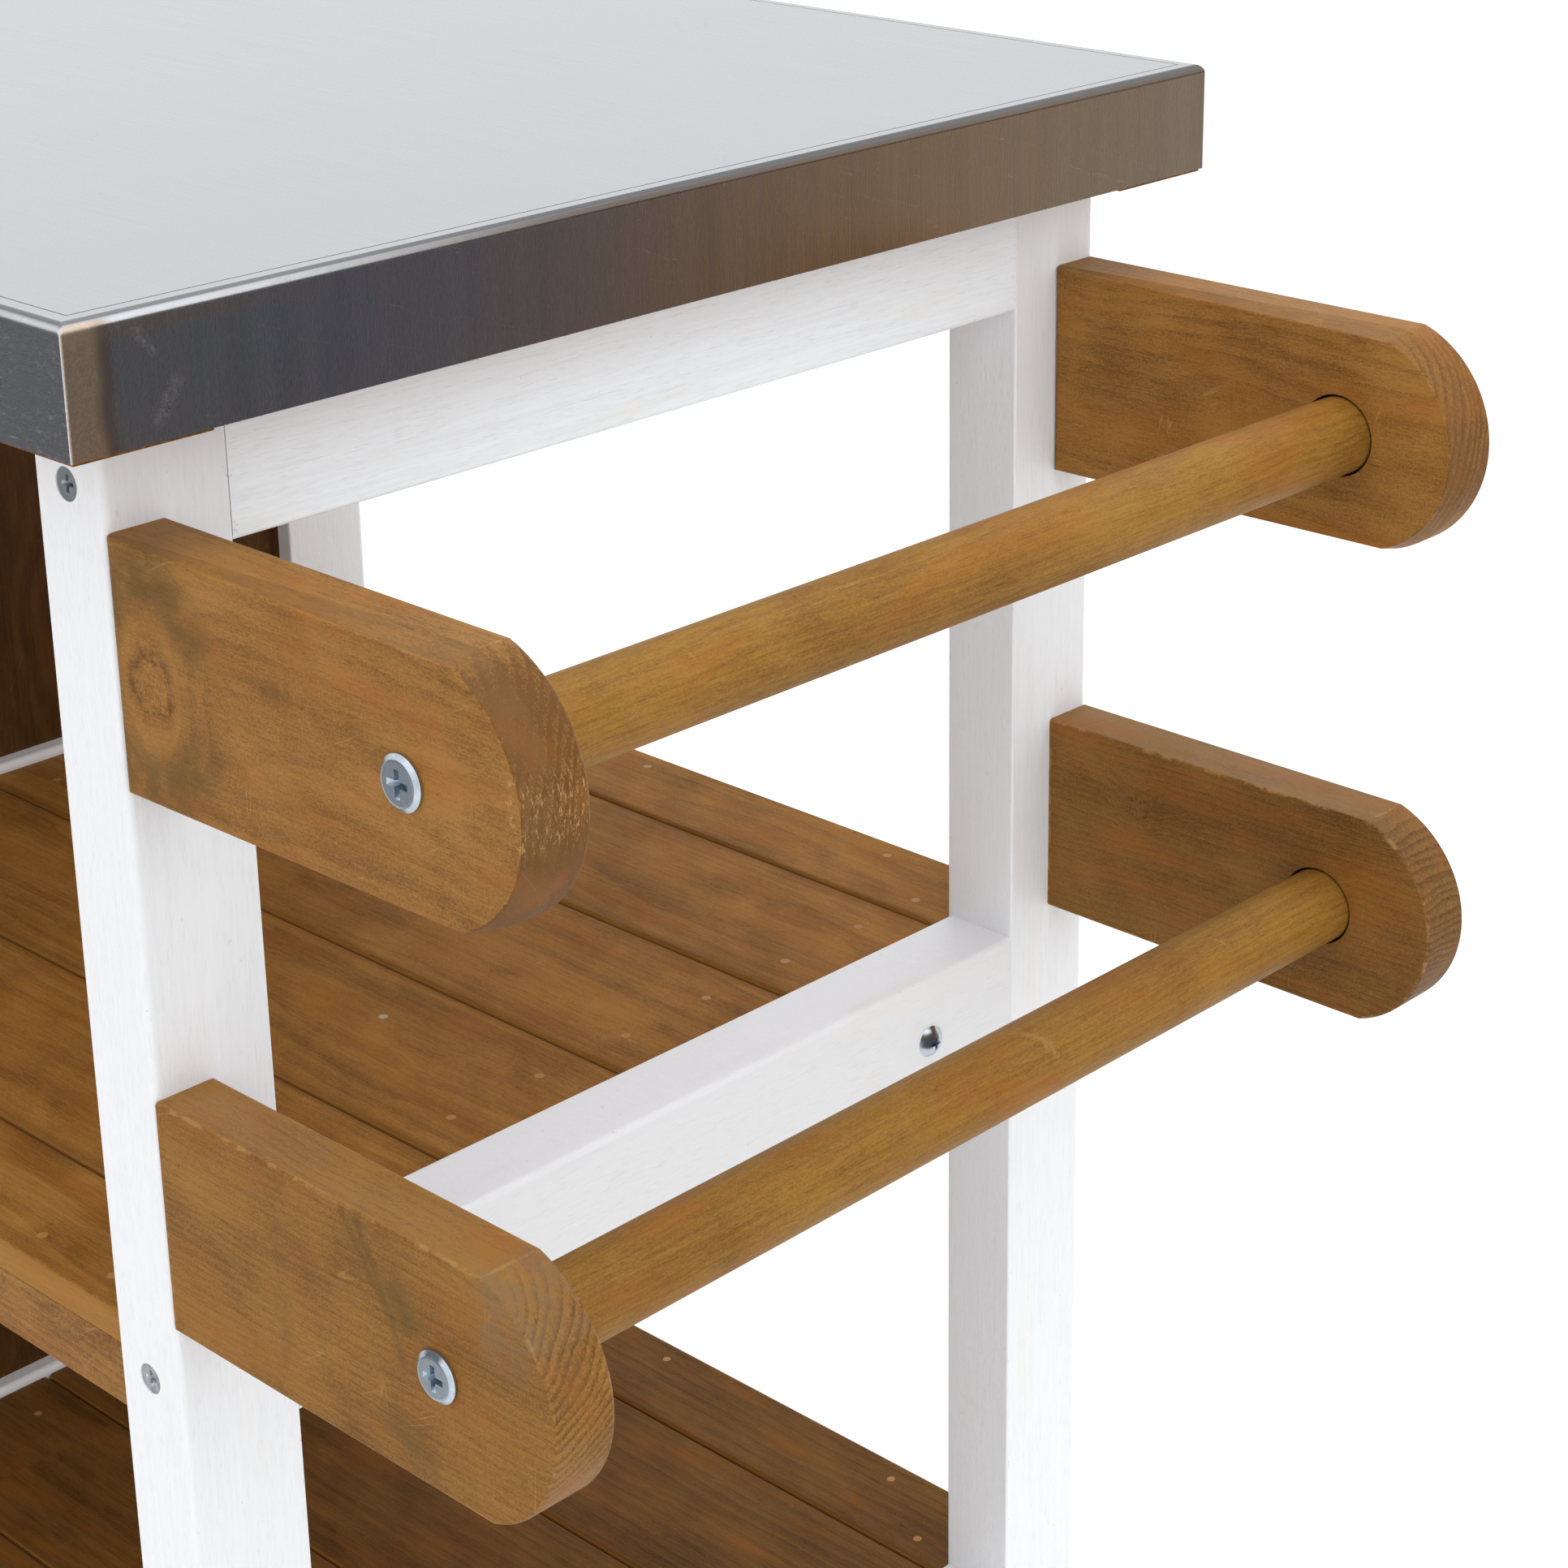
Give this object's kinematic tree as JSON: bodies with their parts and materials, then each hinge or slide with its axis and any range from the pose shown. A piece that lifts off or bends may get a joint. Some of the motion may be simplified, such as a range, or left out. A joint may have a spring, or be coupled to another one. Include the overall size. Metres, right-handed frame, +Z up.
{
  "type": "kitchen island table",
  "caption": "Free-standing kitchen table with a steel-clad top, slatted shelves in an open bay, a closed cabinet bay with a hinged door, and wooden towel bars on one end.",
  "frame": {"origin": "on the floor, under the middle of the bounding box", "axes": "+Z up, +X towards the end with the towel bars, -Y towards the front with the door"},
  "size_m": [1.034, 0.45, 0.84],
  "materials": {
    "steel_top": "brushed along the length of the top, fine scratches",
    "white_paint": "satin white paint over softwood, grain faintly visible",
    "stained_boards": "brown stained softwood, satin",
    "stained_brackets": "brown stained softwood, sanded edges",
    "bar_wood": "lighter brown stained dowel",
    "core_wood": "stained board edge",
    "knob_wood": "turned and stained",
    "zinc_steel": "zinc plated",
    "glide_plastic": "moulded",
    "catch_plastic": "moulded"
  },
  "bodies": {
    "table": {"bar_bracket_lower_back": "stained_brackets", "bar_bracket_lower_front": "stained_brackets", "bar_bracket_upper_back": "stained_brackets", "bar_bracket_upper_front": "stained_brackets", "bar_end_screws": "zinc_steel", "cabinet_back_panel": "stained_boards", "cabinet_bottom_boards": "stained_boards", "cabinet_hardware_screws": "zinc_steel", "cabinet_middle_boards": "stained_boards", "foot_glides": "glide_plastic", "frame_screws": "zinc_steel", "hinge_frame_leaves": "zinc_steel", "hinge_pins": "zinc_steel", "left_bottom_rail": "white_paint", "left_end_panels": "stained_boards", "left_middle_rail": "white_paint", "left_top_rail": "white_paint", "leg_back_left": "white_paint", "leg_back_right": "white_paint", "leg_front_left": "white_paint", "leg_front_right": "white_paint", "lower_shelf_boards": "stained_boards", "magnetic_catch": "catch_plastic", "partition_bottom_rail": "white_paint", "partition_middle_rail": "white_paint", "partition_panel_lower": "stained_boards", "partition_panel_upper": "stained_boards", "partition_top_rail": "white_paint", "post_back_partition": "white_paint", "post_front_partition": "white_paint", "right_bottom_rail": "white_paint", "right_middle_rail": "white_paint", "right_top_rail": "white_paint", "shelf_bearers": "stained_boards", "shelf_bolts": "zinc_steel", "shelf_cross_battens": "stained_boards", "shelf_nails": "zinc_steel", "top_core_battens": "core_wood", "top_core_board": "core_wood", "top_steel_skin": "steel_top", "towel_bar_lower": "bar_wood", "towel_bar_upper": "bar_wood", "upper_shelf_board_1": "stained_boards", "upper_shelf_board_2": "stained_boards", "upper_shelf_board_3": "stained_boards", "upper_shelf_board_4": "stained_boards", "upper_shelf_board_5": "stained_boards", "upper_shelf_board_6": "stained_boards"},
    "door": {"door_bottom_rail": "white_paint", "door_hinge_stile": "white_paint", "door_knob": "knob_wood", "door_latch_stile": "white_paint", "door_lower_panel": "stained_boards", "door_middle_rail": "white_paint", "door_screws": "zinc_steel", "door_top_rail": "white_paint", "door_upper_panel": "stained_boards", "hinge_door_leaves": "zinc_steel", "catch_strike_plate": "zinc_steel"}
  },
  "joints": [
    {"name": "door_hinge", "type": "hinge", "parent": "table", "child": "door", "pos_m": [-0.4585, -0.2037, 0.528], "axis": [0, 0, -1], "range_deg": [0, 170]}
  ]
}
